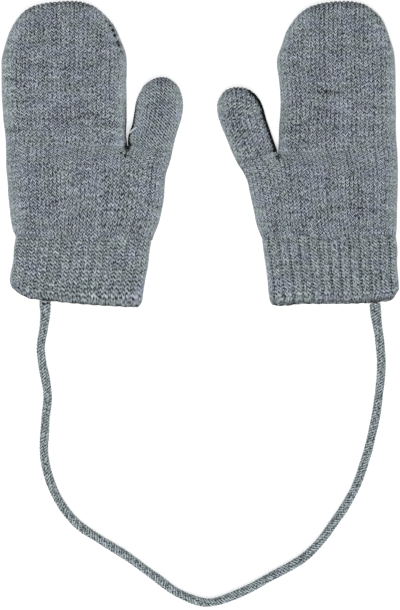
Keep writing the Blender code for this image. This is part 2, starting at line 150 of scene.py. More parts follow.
RIGHT = Mitten(
    name="right",
    mirrored=True,
    hand_seed=30,
    cuff_seed=51,
    cuff=(
        (-91.2, -44.5, -29.1, -45.0), (-91.0, -50.5, -30.1, -52.0), (-91.4, -56.0, -30.9, -58.5),
        (-91.8, -60.5, -31.4, -64.5), (-91.9, -63.2, -31.9, -68.3),
    ),
    hem=(
        (0.00, -63.2), (0.04, -66.4), (0.14, -68.1), (0.30, -68.8), (0.60, -69.1), (0.78, -69.2), (0.86, -69.8),
        (0.96, -69.8), (0.99, -69.3), (1.00, -68.3),
    ),
    peep=1.4,
    palm=(
        (-90.3, -38.6, -28.2, -38.7), (-90.7, -35.7, -27.0, -35.9), (-90.9, -30.5, -25.6, -31.5),
        (-91.0, -25.0, -24.8, -27.0), (-91.2, -19.5, -23.8, -22.5), (-91.3, -14.0, -22.8, -18.0),
        (-91.4, -9.0, -21.9, -13.5), (-91.3, -4.0, -19.9, -9.0), (-91.1, 1.0, -16.9, -4.3),
    ),
    crotch=(-35.9, 1.0),
    fingers=(
        (6.0, -90.7, -36.2), (12.0, -90.4, -36.3), (18.0, -90.5, -36.8), (24.0, -90.4, -37.0), (30.0, -90.3, -36.7),
        (36.0, -90.3, -36.0), (41.0, -90.1, -35.3), (45.0, -89.8, -35.6), (49.0, -89.0, -37.1), (53.0, -87.7, -38.4),
        (57.0, -86.4, -39.9), (60.5, -85.0, -42.1), (63.5, -83.2, -44.4), (66.0, -80.8, -47.0), (68.0, -78.3, -49.9),
        (69.6, -75.4, -54.4), (70.5, -71.9, -59.5),
    ),
    thumb=(
        (-34.1, 6.0, -14.3, 1.2), (-32.2, 11.5, -11.8, 7.5), (-30.5, 16.5, -9.3, 13.5), (-29.3, 21.0, -7.8, 19.0),
        (-27.6, 25.0, -7.9, 24.0), (-25.3, 28.0, -10.0, 28.0), (-22.7, 30.0, -11.9, 30.0), (-19.7, 31.2, -15.0, 31.2),
    ),
    wales=39.0,
    finger_wales=28.5,
    thumb_wales=11.0,
    palm_stitch=Stitch(0.5, 0.52, 0.1, 0.85, -0.1),
    thumb_stitch=Stitch(0.75, 0.72, 0.64, 0.8, 0.3),
    crotch_line=Line(28.0, 34.0, 2.1, 0.05),
    ribs=14,
    cuff_courses=20,
    first_valley=0.0,
    rib_shares=(0.06, 0.46),
    cuff_stitch=Stitch(0.25, 0.15, 0.1, 0.65, -0.2),
    join=(-80.8, -66.5),
    creases=(
        (-54.0, 28.5, -66.5, 28.3, 0.9, 0.24), (-59.0, 47.5, -71.0, 45.5, 1.0, 0.18),
        (-55.5, -25.8, -72.0, -24.3, 0.9, 0.15), (-72.0, -24.3, -90.5, -29.0, 0.8, 0.17),
        (-18.5, 10.7, -27.5, 10.5, 0.7, 0.3), (-44.5, 6.5, -54.0, 5.0, 0.9, 0.2),
        (-41.0, 27.0, -41.0, -14.0, 5.0, 0.09),
    ),
    dimples=(
        (-81.2, 64.3, 0.55, 0.4), (-83.0, 60.6, 0.6, 0.5), (-84.9, 56.9, 0.55, 0.4), (-87.2, 51.8, 0.6, 0.4),
        (-35.9, -1.2, 0.6, 1.2), (-50.7, -29.5, 0.6, 0.7),
    ),
    hand_cut=Cut(153.9, 109.1, 12920.0),
    thumb_cut=Cut(46.2, 34.1, 1540.0),
    cuff_cut=Cut(129.7, 31.7, 3830.0),
    yarn_end=(),
)

MITTENS = (LEFT, RIGHT)

# The way of the cord from the left hem to the right one, as it lies.
CORD_ROUTE = (
    (-71.7, -67.2), (-71.7, -74.0), (-72.4, -81.0), (-73.7, -89.0), (-73.1, -96.0), (-70.6, -110.5), (-71.7, -125.5),
    (-72.0, -140.0), (-67.9, -155.0), (-64.0, -162.3), (-57.8, -170.0), (-47.6, -177.3), (-35.6, -184.7),
    (-20.2, -195.8), (-10.8, -202.5), (3.5, -207.2), (17.2, -203.2), (31.5, -195.8), (50.5, -184.2), (62.0, -170.0),
    (71.2, -155.0), (76.6, -140.0), (80.2, -125.5), (82.6, -110.5), (83.6, -96.0), (82.6, -84.5), (81.2, -75.0),
    (80.7, -68.6),
)

STRAIGHT_LEVELS = 7  # rows of the fingers that the wales follow, before they run on straight and are cut off
STRAIGHT_RINGS = 4  # the same for the rows of the thumb
COLUMNS_PER_WALE = 4
ROWS_PER_COURSE = 4
INSIDE_ROWS = 14  # rows of the plain inside of a piece
LIP_ROWS = 4  # rows round the edge of a hem
OUTLINE_STEP = 0.5 * MM  # how far apart the points of a smooth outline are
YARN_STEP = 0.3 * MM  # the same for a loose end of yarn
YARN_SIDES = 8  # corners round a loose end of yarn
MERGE = 0.002 * MM  # vertices nearer to each other than this become one
AT_ONCE = 4096  # places looked up at once, which limits the memory
SOFT_WALES = 1.5  # how far in from a fold the stitches lie flatter, in wales
UNEVEN_HEIGHT = 0.2  # how much the stitches differ in height
AT_CUFF = 0.4  # share of their relief that the first stitches above a cuff keep
SIDE_PLAIN = 0.85  # how plain the bands along the sides are
PLAIN_LIGHTER = 0.15  # how much lighter than the rest of the cloth they look
TIP_PLAIN = 0.5  # how plain the tips are
TIP_EVEN = 0.6  # how much the gaps between their stitches even out
EDGE_REACH = 1.5 * MM  # how far in from the outline creases, dimples and uneven stitches have their full form
THUMB_NUMBERS = 200  # where the numbers of a thumb's own wales start, so its yarn looks unlike the hand's
INSIDE_SHADE = 0.8  # how light the plain insides look, darkened as painted shade
YARN_END_SHADE = 2.6  # the same for a loose end of yarn
CORD_STITCH = Stitch(0.25, 0.3, 0.0, 1.0, 0.2)
CORD_SEED = 5
WINDING_LENGTH = 30 * MM  # length in which the winding of the cord's wales changes
UNEVEN_LENGTH = 7 * MM  # length in which its thickness changes
WHITE = (1, 1, 1, 1)
LIT_PLACE = Vector((0, -0.04, 0))  # what the lamps point at


def linear(code):
    """An sRGB hex colour as linear values."""
    parts = (int(code[k : k + 2], 16) / 255 for k in (1, 3, 5))
    return tuple(p / 12.92 if p <= 0.04045 else ((p + 0.055) / 1.055) ** 2.4 for p in parts)


# ------------------------------------------------------------ settings


def length(name, value, text):
    return FloatProperty(name=name, description=text, default=value, min=0.0, subtype="DISTANCE", unit="LENGTH")


def share(name, value, text):
    return FloatProperty(name=name, description=text, default=value, min=-1.0, subtype="FACTOR")


def count(name, value, text):
    return IntProperty(name=name, description=text, default=value, min=1)


def position(name, value, text):
    return FloatProperty(name=name, description=text, default=value, unit="LENGTH")


def colour(name, code, text):
    return FloatVectorProperty(
        name=name, description=text, default=linear(code), size=3, min=0, max=1, subtype="COLOR"
    )


class KnitSizes(bpy.types.PropertyGroup):
    """The cloth of the hands, the thumbs and the cuffs."""

    wall: length("Wall", 0.0018, "Thickness of the knitted cloth")
    fold_radius: length("Fold radius", 0.0024, "Outer radius of the folds at the sides")
    dome_height: length("Fullness", 0.0008, "How much fuller the middle of a tube lies than its sides")
    dome_reach: length("Fullness reach", 0.014, "How far in from a fold the cloth reaches that height")
    palm_courses: count("Palm courses", 32, "Courses from the cuff to the crotch of the thumb")
    thumb_courses: count("Thumb courses", 28, "Courses of the thumb, with those cut off round its tip")
    course: length("Course height", 0.00133, "Height of one stitch of the hand")
    slant: share("Slant", 0.95, "How many courses a leg of a stitch rises")
    relief: length("Relief", 0.00055, "How far the stitches stand above the gaps between them")
    side_band: length("Side band", 0.0095, "Width of the flatter stitches along the folds")
    # The darker edge round the tips is painted shade, where the cloth turns down away from the light.
    tip_band: length("Tip band", 0.0058, "Width of the darker edge round the tips")
    scallop: length("Scallop", 0.00045, "How far the edge of a tip dips between its wales")
    yarn_radius: length("Yarn radius", 0.00044, "Radius of a loose end of yarn")
    crease: length("Crease", 0.0011, "Depth of a crease that looks quite dark")
    # Strength of the painted shadow beside the crotch, where the fold lies in shade.
    crotch_shadow_strength: share("Crotch darkness", 2.2, "How dark the edges beside the crotch of the thumb look")
    dimple: length("Dimple", 0.0008, "Depth of the darkest dimples")
    wander: share("Wander", 0.1, "How far the wales wander to either side, in wales")
    tuck: length("Tuck", 0.0004, "How far the thumb's first course lies beneath the palm's last one")
    light: share("Light", 0.92, "How light the stitches are on the whole, against the yarn's colour")
    # Contrast and Patchy set painted shade: how much darker the deep gaps are painted, and how that differs from leg to
    # leg.
    contrast: share("Contrast", 1.7, "How much darker the deepest gaps are than the tops of the stitches")
    uneven: share("Uneven", 0.05, "How much the legs of the stitches differ in lightness")
    wale_uneven: share("Uneven wales", 0.14, "How much the wales differ in lightness")
    patchy: share("Patchy", 0.25, "How much the gaps differ in depth from leg to leg")


class CuffSizes(bpy.types.PropertyGroup):
    """The ribbed cuffs."""

    wales_per_rib: count("Wales per rib", 3, "Two knitted wales and a purled one between ribs")
    purl_share: share("Purled share", 0.16, "Share of a rib's width that its purled wale takes")
    rib_height: length("Rib height", 0.0007, "How far the ribs stand above the valleys at the hem")
    rib_share_at_hand: share("Ribs at the hand", 0.2, "Share of that height where the ribs reach the hand")
    # Stitch share and valley darkness set painted shade, in the gaps between the stitches and in the valleys between
    # the ribs.
    stitch_share: share("Stitch share", 0.95, "How dark the gaps between the stitches look, against the hands")
    valley_shade: share("Valley darkness", 0.56, "How dark the valleys between the ribs look")
    scallop: length("Scallop", 0.00014, "How far the hem dips from rib to rib")
    join_width: length("Join width", 0.0046, "Width of the stitches that join the cord to the hem")
    join_reach: length("Join reach", 0.0035, "How far they run up the cuff")
    join_rise: length("Join height", 0.0003, "How far those stitches stand above the cuff")
    plain: share("Plainness", 0.4, "How much less the tufts of the yarn show than in the hands")
    side_band: length("Side band", 0.005, "Width of the flatter stitches along the folds")
    lip: length("Hem lip", 0.0007, "How far the rounded edge of the hem stands past the last course")
    tuck: length("Tuck", 0.0016, "How far the cuff runs on beneath the first course of the hand")


class CordSizes(bpy.types.PropertyGroup):
    """The knitted cord."""

    diameter: length("Diameter", 0.0039, "Diameter of the cord")
    length: length("Length", 0.349, "Length of the cord from hem to hem")
    wales: count("Wales", 5, "Wales round the cord")
    course: length("Course height", 0.00145, "Height of one stitch of the cord")
    relief: length("Relief", 0.00045, "How far its stitches stand above the gaps between them")
    turn: length("Turn", 0.085, "Length in which the wales wind once round the cord")
    end_length: length("End", 0.0012, "Length in which each end of the cord rounds off")
    flare: share("Flare", 0.3, "How much wider the cord is where it's joined to the hems")
    flare_length: length("Flare length", 0.009, "Length in which it narrows from there")
    light: share("Light", 0.05, "How much lighter its stitches look than those of the hands")


class YarnColours(bpy.types.PropertyGroup):
    """Heather grey yarn, spun from fibres of several greys."""

    blue_grey: colour("Blue grey", "#7e8590", "The bluish fibres")
    green_grey: colour("Green grey", "#7d8789", "The greenish fibres")
    pale_grey: colour("Pale grey", "#9aa2a8", "The pale fibres")
    dark_grey: colour("Dark grey", "#5c636b", "The dark fibres")


class StageSettings(bpy.types.PropertyGroup):
    """The camera, the lights and the surface."""

    view_height: length("View height", 0.2818, "Height of the view, from edge to edge")
    view_x: position("View centre X", -0.00014, "Middle of the view")
    view_y: position("View centre Y", -0.0697, "Middle of the view")
    camera_height: length("Camera height", 3.0, "Height of the camera above the surface")
    sensor: FloatProperty(name="Sensor", description="Long side of the sensor in mm", default=36.0, min=1.0)
    fold_level: length("Sharp level", 0.0024, "Height of the folds, at which the view has its size")
    floor_size: length("Surface size", 6.0, "Side of the surface that the mittens lie on")
    floor: colour("Surface", "#f6f6f6", "Colour of the surface")


SETTINGS = {
    "mitten_knit": KnitSizes,
    "mitten_cuffs": CuffSizes,
    "mitten_cord": CordSizes,
    "mitten_yarn": YarnColours,
    "mitten_stage": StageSettings,
}

# ------------------------------------------------------------ curves


def smooth(x):
    """0 below 0, 1 above 1, and a soft step between."""
    x = np.clip(x, 0.0, 1.0)
    return x * x * (3 - 2 * x)


def fade(x):
    """1 below 0, 0 above 1, and a soft step between."""
    return 1 - smooth(x)


def lengths(vectors):
    return np.linalg.norm(vectors, axis=1)


def unit(vectors):
    return vectors / lengths(vectors)[:, None]


def curve_through(keys, values, at):
    """Values at the places asked for, on a smooth curve through the values at the keys."""
    at = np.clip(at, keys[0], keys[-1])
    slopes = np.gradient(values, keys, axis=0)
    k = np.clip(np.searchsorted(keys, at, side="right") - 1, 0, len(keys) - 2)
    span = keys[k + 1] - keys[k]
    t = (at - keys[k]) / span
    if values.ndim > 1:
        t, span = t[..., None], span[..., None]
    start = (2 * t**3 - 3 * t**2 + 1) * values[k] + (t**3 - 2 * t**2 + t) * span * slopes[k]
    end = (3 * t**2 - 2 * t**3) * values[k + 1] + (t**3 - t**2) * span * slopes[k + 1]
    return start + end


def along(points):
    """Distance of each point from the first one, along the line through them."""
    return np.concatenate([[0.0], np.cumsum(lengths(np.diff(points, axis=0)))])


def smooth_line(points, spacing):
    """A smooth line through the points, as points about that far apart."""
    keys = along(points)
    return curve_through(keys, points, np.linspace(0, keys[-1], int(keys[-1] / spacing) + 2))


def soft_noise(x, y, seed):
    """Smooth noise from -1 to 1, with one bump in each unit square."""
    table = np.random.default_rng(seed).uniform(-1, 1, (64, 64))
    i, j = np.floor(x).astype(int), np.floor(y).astype(int)
    s, t = smooth(x - i), smooth(y - j)
    low, high = (table[i % 64, k % 64] * (1 - s) + table[(i + 1) % 64, k % 64] * s for k in (j, j + 1))
    return low * (1 - t) + high * t


def speckle(x, y, seed):
    """A number for each unit square, about -1 to 1 and mostly unlike its neighbours'."""
    table = np.random.default_rng(seed).uniform(-1, 1, (512, 512))
    near = sum(np.roll(table, (i, j), (0, 1)) for i in (-1, 0, 1) for j in (-1, 0, 1)) / 9
    return (table - near)[np.floor(x).astype(int) % 512, np.floor(y).astype(int) % 512]


# ------------------------------------------------------------ cloth

Edge = namedtuple("Edge", "points slack closed_start closed_end")
Cloth = namedtuple("Cloth", "points normals depth sideways")


def fold_slack(knit):
    """How much wider the cloth is than its outline, at a fold."""
    return (pi / 2 - 1) * knit.fold_radius


def off_crotch(distance):
    """0 at the crotch of the thumb, and 1 from 3 mm away."""
    return smooth(distance / (3 * MM))


class Form:
    """The places of one mitten's cloth: where a wale and a course lie, and how the layers fold at the sides."""

    def __init__(self, mitten, knit):
        self.knit = knit
        self.palm = np.array(mitten.palm) * MM
        self.crotch = np.array(mitten.crotch) * MM
        self.wales = mitten.wales
        self.finger_wales = mitten.finger_wales
        self.slack = fold_slack(knit)
        top = self.palm[-1]
        self.finger_share = (self.crotch[0] - top[0]) / (top[2] - top[0])
        self.levels = np.vstack([(self.crotch[1], top[0], self.crotch[0]), np.array(mitten.fingers) * MM])
        self.thumb = np.vstack([(*self.crotch, *top[2:]), np.array(mitten.thumb) * MM])
        cuff = np.array(mitten.cuff[0]) * MM
        # From below the palm up the little finger's side, over the tip and down to the crotch.
        up = [cuff[:2], *self.palm[:, :2], *self.levels[1:, [1, 0]]]
        self.finger_edge = self.edge([*up, *self.levels[:0:-1, [2, 0]], self.crotch], False, True)
        # From the crotch up the thumb, over its tip and down to below the palm.
        down = [*self.thumb[:0:-1, 2:], *self.palm[::-1, 2:], cuff[2:]]
        self.thumb_edge = self.edge([self.crotch, *self.thumb[1:, :2], *down], True, False)

    def edge(self, points, closed_start, closed_end):
        """An edge of the laid cloth, whose fold ends at the crotch."""
        line = smooth_line(np.array(points), OUTLINE_STEP)
        return Edge(line, self.slack * off_crotch(lengths(line - self.crotch)), closed_start, closed_end)

    def flat_place(self, wale, course, on_thumb):
        """Where a stitch lies when the folds at the sides are opened out."""
        upper = np.where(on_thumb[:, None], self.thumb_place(wale, course), self.finger_place(wale, course))
        above = course > self.knit.palm_courses
        return np.where(above[:, None], upper, self.palm_place(wale, course))

    def palm_place(self, wale, course):
        up = np.clip(course / self.knit.palm_courses, 0, 1)
        keys = (self.palm[:, 1] - self.palm[0, 1]) / (self.palm[-1, 1] - self.palm[0, 1])
        ring = curve_through(keys, self.palm, up)
        pinky, thumb = ring[:, :2], ring[:, 2:]
        across = unit(thumb - pinky)
        start = pinky - across * self.slack
        end = thumb + across * self.slack
        under = pinky + (thumb - pinky) * self.finger_share
        level = pinky[:, 1] + (self.crotch[1] - pinky[:, 1]) * up
        under[:, 1] += (level - under[:, 1]) * up
        first = (wale / self.finger_wales)[:, None]
        last = ((wale - self.finger_wales) / (self.wales - self.finger_wales))[:, None]
        return np.where(first <= 1, start + (under - start) * first, under + (end - under) * last)

    def finger_place(self, wale, course):
        y = self.crotch[1] + (course - self.knit.palm_courses) * self.knit.course
        straight = self.levels[STRAIGHT_LEVELS, 0]
        sides = curve_through(self.levels[:, 0], self.levels[:, 1:], np.minimum(y, straight))
        start = sides[:, 0] - self.slack
        end = sides[:, 1] + self.slack * off_crotch(y - self.crotch[1])
        return np.stack([start + (end - start) * wale / self.finger_wales, y], axis=1)

    def thumb_place(self, wale, course):
        rings = self.thumb[: STRAIGHT_RINGS + 1]
        keys = along((rings[:, :2] + rings[:, 2:]) / 2)
        rise = (course - self.knit.palm_courses) * self.knit.course
        ring = curve_through(keys, rings, rise)
        across = unit(ring[:, 2:] - ring[:, :2])
        start = ring[:, :2] - across * (self.slack * off_crotch(rise))[:, None]
        end = ring[:, 2:] + across * self.slack
        part = ((wale - self.finger_wales) / (self.wales - self.finger_wales))[:, None]
        up = np.stack([-across[:, 1], across[:, 0]], axis=1)
        return start + (end - start) * part + up * np.maximum(rise - keys[-1], 0)[:, None]

    def lay(self, flat, on_thumb, side):
        """The cloth at an opened-out place, folded and laid: side is 1 on the front and -1 on the back."""
        near = [np.empty((len(flat), *size)) for size in ((2,), (2,), (), ())]
        for edge, rows in ((self.finger_edge, ~on_thumb), (self.thumb_edge, on_thumb)):
            for whole, part in zip(near, nearest(edge, flat[rows])):
                whole[rows] = part
        return fold(self.knit, flat, *near, side)


def nearest(edge, places):
    """The nearest point of an edge to each place, the way in there, how far in the place is, and the slack."""
    runs = np.diff(edge.points, axis=0)
    found = []
    for part in np.array_split(places, len(places) // AT_ONCE + 1):
        gap = part[:, None, :] - edge.points[None, :-1]
        part_along = np.clip((gap * runs).sum(2) / (runs**2).sum(1), 0, 1)
        away = gap - part_along[..., None] * runs
        best = (away**2).sum(2).argmin(1)
        rows = np.arange(len(part))
        found.append((part - away[rows, best], best, part_along[rows, best]))
    feet, index, shares = (np.concatenate(parts) for parts in zip(*found))
    inward = unit(np.stack([runs[index, 1], -runs[index, 0]], axis=1))
    gap = places - feet
    distance = lengths(gap)
    at_start = edge.closed_start & (index == 0) & (shares <= 0)
    at_end = edge.closed_end & (index == len(runs) - 1) & (shares >= 1)
    sign = np.where(((gap * inward).sum(1) >= 0) | at_start | at_end, 1.0, -1.0)
    clear = distance > 0.05 * MM  # nearer than this, the way in is that of the edge
    inward = np.where(clear[:, None], gap * sign[:, None] / np.maximum(distance, 1e-9)[:, None], inward)
    slack = edge.slack[index] + (edge.slack[index + 1] - edge.slack[index]) * shares
    return feet, inward, distance * sign, slack


def fold(knit, flat, foot, inward, depth, slack, side):
    """Folds opened-out cloth round its edge: half of it goes down on the front and half up on the back."""
    radius = knit.fold_radius
    sharp = np.arccos(1 - np.clip(depth, 0, radius) / radius)
    round_turn = np.clip((depth + slack) / (radius + slack), 0, 1) * pi / 2
    turn = sharp + (round_turn - sharp) * slack / fold_slack(knit)
    laid = foot + inward * (radius * (1 - np.cos(turn)))[:, None]
    place = np.where((depth < radius)[:, None], laid, flat)
    return raised(knit, place, inward, depth, depth + slack, turn, side)


def raised(knit, place, inward, depth, depth_round, turn, side):
    """Laid cloth at its height, which follows from how far round its fold it has turned and how far in it lies."""
    radius = knit.fold_radius
    dome = knit.dome_height * (1 - (1 - np.clip(depth / knit.dome_reach, 0, 1)) ** 2)
    height = radius + side * radius * np.sin(turn) + np.where(side > 0, dome, 0.0)
    points = np.concatenate([place, height[:, None]], axis=1)
    normals = np.concatenate([-inward * np.cos(turn)[:, None], (side * np.sin(turn))[:, None]], axis=1)
    return Cloth(points, normals, depth_round, np.abs(inward[:, 0]))


# ------------------------------------------------------------ stitches


def leg_share(wale, foot):
    """How far out on its leg a place of a stitch lies: 0 at the foot of the V, and 1 where it meets the next wale."""
    part = wale - np.floor(wale)
    return np.where(part < foot, 1 - part / foot, (part - foot) / (1 - foot))


def stitch_height(wale, course, stitch, soft=1.0):
    """Height of a knitted stitch, from 0 in the gaps to 1 on its legs."""
    leg = leg_share(wale, stitch.foot)
    across = 1 - stitch.groove * leg**2 - stitch.spine * (1 - leg) ** 2
    rows = stitch.rows * (1 + stitch.lean * soft * np.sin(tau * wale))
    return across * (1 - rows * (0.5 + 0.5 * np.cos(tau * course)))


def purl_height(wale, course):
    """Height of a purled stitch, a low bar across the whole wale."""
    across = 1 - 0.5 * (2 * (wale - np.floor(wale)) - 1) ** 2
    return across * (0.63 - 0.37 * np.cos(tau * (course + 0.5)))


def mean_gap(stitch):
    """How deep the cloth lies on the whole, from 0 on the legs of the stitches to 1 in the gaps."""
    return 1 - (1 - (stitch.groove + stitch.spine) / 3) * (1 - stitch.rows / 2)


def yarn_shade(gap, mean, vary, knit):
    """How light the yarn looks: painted shade where it lies deep between the stitches, and a tone uneven from leg to
    leg.
    """
    contrast = knit.contrast * (1 + knit.patchy * vary)
    return np.clip(knit.light + contrast * (mean - gap) + knit.uneven * vary, 0.1, None)


# ------------------------------------------------------------ meshes


def mesh_of(name, shape):
    data = bpy.data.meshes.new(name)
    shape.to_mesh(data)
    shape.free()
    return data


def linked(name, data):
    """The data as an object of the scene."""
    made = bpy.data.objects.new(name, data)
    bpy.context.scene.collection.objects.link(made)
    return made


def grid(columns, rows):
    """A flat grid as a mesh, with the column and the row of each of its vertices."""
    shape = bmesh.new()
    bmesh.ops.create_grid(shape, x_segments=columns, y_segments=rows, size=0.5)
    data = mesh_of("grid", shape)
    flat = np.empty(len(data.vertices) * 3, np.float32)
    data.vertices.foreach_get("co", flat)
    flat = flat.reshape(-1, 3) + 0.5
    return data, np.rint(flat[:, 0] * columns), np.rint(flat[:, 1] * rows)


def shape_grid(data, points, around, course, shade, plain, outside):
    """Moves a grid's vertices to their points, and stores its stitch numbers and how the yarn looks there."""
    points[:, 2] = np.maximum(points[:, 2], 0.0)  # pressed flat by the surface beneath
    data.vertices.foreach_set("co", points.astype(np.float32).ravel())
    for name, values in (("shade", shade), ("plain", plain), ("outside", outside)):
        layer = data.attributes.new(name, "FLOAT", "POINT")
        layer.data.foreach_set("value", np.broadcast_to(values, len(points)).astype(np.float32))
    corners = np.empty(len(data.loops), int)
    data.loops.foreach_get("vertex_index", corners)
    numbers = np.stack([around, course], axis=1)[corners].astype(np.float32)
    data.uv_layers.new(name="stitches").data.foreach_set("uv", numbers.ravel())
    return data


def join_grids(name, grids, mirrored=False):
    """One piece from its grids, without what lies outside of the tube's end."""
    shape = bmesh.new()
    for data in grids:
        shape.from_mesh(data)
        bpy.data.meshes.remove(data)
    outside = shape.verts.layers.float["outside"]
    beyond = [face for face in shape.faces if all(vertex[outside] > 0.5 for vertex in face.verts)]
    bmesh.ops.delete(shape, geom=beyond, context="FACES")
    bmesh.ops.remove_doubles(shape, verts=shape.verts, dist=MERGE)
    if mirrored:
        bmesh.ops.scale(shape, vec=(-1, 1, 1), verts=shape.verts)
    bmesh.ops.recalc_face_normals(shape, faces=shape.faces)
    data = mesh_of(name, shape)
    data.shade_smooth()
    return linked(name, data)


def strand(points, radius):
    """A loose end of yarn along a line, closed at both of its ends."""
    line = smooth_line(np.array(points) * MM, YARN_STEP)
    last = len(line) - 1
    data, column, row = grid(YARN_SIDES, last)
    at = row.astype(int)
    ahead = unit(np.gradient(line, axis=0))
    across = np.cross(ahead, (0.0, 0.0, 1.0))
    up = np.cross(across, ahead)
    size = radius * np.sqrt(np.clip(np.sin(pi * row / last), 0, 1))
    angle = tau * column / YARN_SIDES
    points = line[at] + across[at] * (size * np.cos(angle))[:, None] + up[at] * (size * np.sin(angle))[:, None]
    return shape_grid(data, points, column, row, YARN_END_SHADE, 1, 0)


def round_tube(column, wales):
    """A column's wale and side, as it goes over the front and back beneath: 1 front, -1 back and 0 on a fold."""
    last = wales * COLUMNS_PER_WALE
    side = np.sign(last - column) * (column > 0) * (column < 2 * last)
    return np.where(column <= last, column, 2 * last - column) / COLUMNS_PER_WALE, side


# A part of a hand or thumb: its wales across the hand, its own number of wales, its courses and its stitch; whether
# it lies on the thumb, and whether it counts its wales by itself.
Section = namedtuple("Section", "low high wales first_course courses stitch on_thumb own")
# Places in the cloth: course, wale in the section, wale across the hand, side, wale all round, and what is thumb.
Place = namedtuple("Place", "course wale across side around on_thumb")


class Cuts:
    """The stitches of one mitten's hand and thumb as grids."""

    def __init__(self, mitten, knit, seed):
        self.form = form = Form(mitten, knit)
        self.mitten = mitten
        self.knit = knit
        self.seed = seed
        wales, fingers, palm = mitten.wales, mitten.finger_wales, knit.palm_courses
        finger_courses = int((form.levels[-1, 0] - form.crotch[1]) / knit.course) + 3
        stitch = mitten.palm_stitch
        self.palm = Section(0, wales, wales, 0, palm, stitch, False, False)
        self.fingers = Section(0, fingers, fingers, palm, finger_courses, stitch, False, False)
        self.thumb_opening = Section(fingers, wales, wales - fingers, palm, 0, stitch, True, False)
        thumb = (mitten.thumb_wales, palm - 1, knit.thumb_courses, mitten.thumb_stitch)
        self.thumb = Section(fingers, wales, *thumb, True, True)

    def places(self, section, rows, courses):
        """A grid round a section, over that many courses, with its rows and the places of its vertices."""
        data, column, row = grid(int(2 * section.wales * COLUMNS_PER_WALE), rows)
        wale, side = round_tube(column, section.wales)
        across = section.low + wale * (section.high - section.low) / section.wales
        around = wale + THUMB_NUMBERS if section.own else across
        whole = section.wales + THUMB_NUMBERS if section.own else self.mitten.wales
        around = np.where(column <= section.wales * COLUMNS_PER_WALE, around, 2 * whole - around)
        on_thumb = (across > self.mitten.finger_wales) | section.on_thumb
        course = section.first_course + row * courses / rows
        return data, row, Place(course, wale, across, side, around, on_thumb)

    def outside(self, section):
        """The outside of a section, stitch by stitch."""
        data, _, at = self.places(section, section.courses * ROWS_PER_COURSE, section.courses)
        points, shade, plain, depth = self.knitted(section, at)
        return shape_grid(data, points, at.around, at.course, shade, plain, depth <= 0)

    def inside(self, section):
        """The plain inside of a section."""
        data, _, at = self.places(section, INSIDE_ROWS, section.courses)
        points, depth = self.inner(at)
        return shape_grid(data, points, at.around, at.course, INSIDE_SHADE, 0, depth <= 0)

    def rim(self, section):
        """The edge of the cloth along a section's first course, from the outside to the inside."""
        data, row, at = self.places(section, 1, 0)
        outer, shade, plain, _ = self.knitted(section, at)
        points = np.where((row == 0)[:, None], outer, self.inner(at)[0])
        return shape_grid(data, points, at.around, at.course, shade, plain, 0)

    def inner(self, at):
        """Points of the plain inside, and how far each is from the edge."""
        cloth = self.form.lay(self.form.flat_place(at.across, at.course, at.on_thumb), at.on_thumb, at.side)
        return cloth.points - cloth.normals * self.knit.wall, cloth.depth

    def knitted(self, section, at):
        """Points of the outside, how light and how plain each looks, and how far it is from the edge."""
        knit, form, stitch = self.knit, self.form, section.stitch
        near_crotch = smooth((at.course - knit.palm_courses + 3) / 3) * (not section.on_thumb)
        split = 1 - fade(np.abs(at.across - form.finger_wales) / SOFT_WALES) * near_crotch
        soft = smooth(np.minimum(at.wale, section.wales - at.wale) / SOFT_WALES) * split
        wander = knit.wander * soft_noise(at.across / 3, at.course / 7, self.seed) * soft
        wale = at.wale if section.own else at.across
        rise = knit.slant * leg_share(wale, stitch.foot) * soft
        cloth = form.lay(form.flat_place(at.across + wander, at.course + rise, at.on_thumb), at.on_thumb, at.side)
        inside = smooth(cloth.depth / EDGE_REACH)
        vary = speckle(2 * at.around, at.course, self.seed + 1) * soft * inside
        height = stitch_height(wale, at.course, stitch, soft) * (1 + UNEVEN_HEIGHT * vary)
        plain = SIDE_PLAIN * fade(cloth.depth / knit.side_band) * cloth.sideways
        off_cuff = AT_CUFF + (1 - AT_CUFF) * smooth(at.course / 1.5)
        at_tip = fade(cloth.depth / knit.tip_band) * (1 - cloth.sideways)
        stroke = leg_share(wale, 0.5) ** 2 * at_tip
        crease_shade = self.crease_shade(cloth) * (at.side > 0) * inside
        dimple_shade = self.dimple_shade(cloth) * (at.side > 0) * inside
        sink = knit.relief * (1 - plain) * (height - 1) * off_cuff
        if section.own:
            sink -= knit.tuck * fade((at.course - knit.palm_courses + 0.5) / 1.5)
        sink -= crease_shade * knit.crease + dimple_shade * knit.dimple + stroke * knit.scallop
        mean = mean_gap(stitch)
        # The gap is painted shade, dark deep between the stitches; tips, ribs, crotch, creases and dimples add more.
        gap = 1 - height
        gap += (mean - PLAIN_LIGHTER - gap) * plain
        gap += (mean - gap) * (1 - off_cuff)
        gap += (mean - gap) * TIP_EVEN * at_tip + self.tip_edge_shade(cloth, at.side, at_tip, stroke)
        gap += self.rib_shade_in_hand(at) + self.crotch_line(section, at, cloth)
        shade = yarn_shade(gap + crease_shade + dimple_shade, mean, vary, knit)
        shade += knit.wale_uneven * soft_noise(at.around, at.course / 14, self.seed + 2) * (1 - plain)
        plain = np.maximum(plain, TIP_PLAIN * at_tip)
        return cloth.points + cloth.normals * sink[:, None], shade, plain, cloth.depth

    def tip_edge_shade(self, cloth, side, at_tip, stroke):
        """How deep the short dark strokes between the wales of a tip look, which fade beneath it: painted shade where
        the tip's edge turns away from the light.
        """
        over_fold = 0.4 + 0.6 * smooth(cloth.depth / (3 * MM))
        beneath = 0.4 * fade(cloth.depth / EDGE_REACH)
        return (0.1 * at_tip + 0.45 * stroke) * np.where(side > 0, over_fold, beneath)

